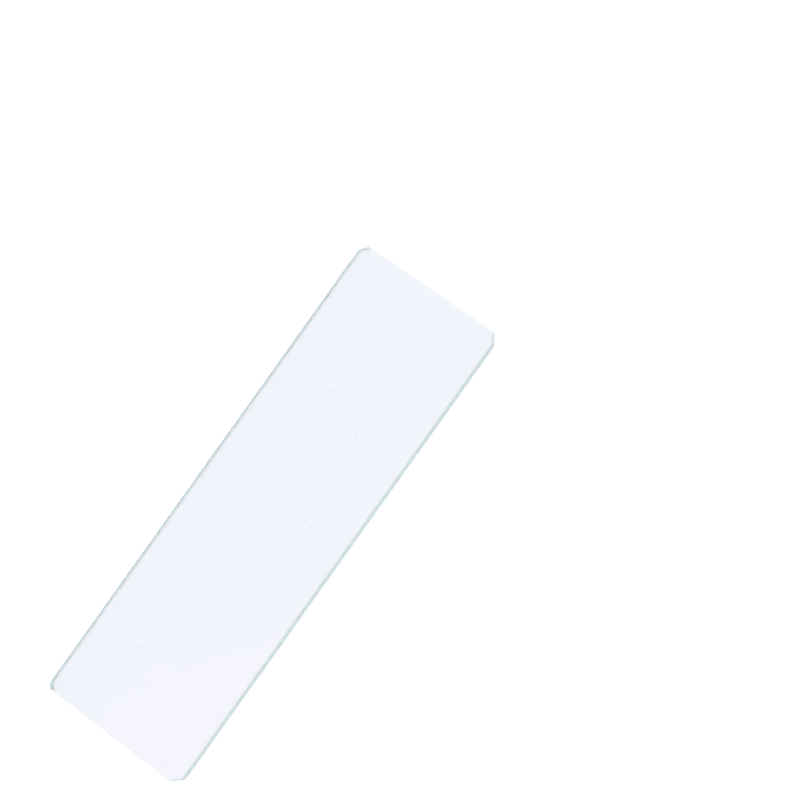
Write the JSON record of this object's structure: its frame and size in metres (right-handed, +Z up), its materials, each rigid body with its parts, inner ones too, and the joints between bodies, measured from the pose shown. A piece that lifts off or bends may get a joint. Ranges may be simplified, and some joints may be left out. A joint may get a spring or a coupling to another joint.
{
  "type": "microscope slide",
  "caption": "Plain clear glass plate for mounting a specimen, with ground edges and clipped corners.",
  "frame": {"origin": "centre of the bottom face, on the surface that the slide lies on", "axes": "+X along the length, +Y across the width, +Z up through the thickness"},
  "size_m": [0.0762, 0.0254, 0.0012],
  "materials": {
    "glass": "clear polished faces, ground edges"
  },
  "bodies": {
    "root": {"glass_slide": "glass"}
  },
  "joints": []
}
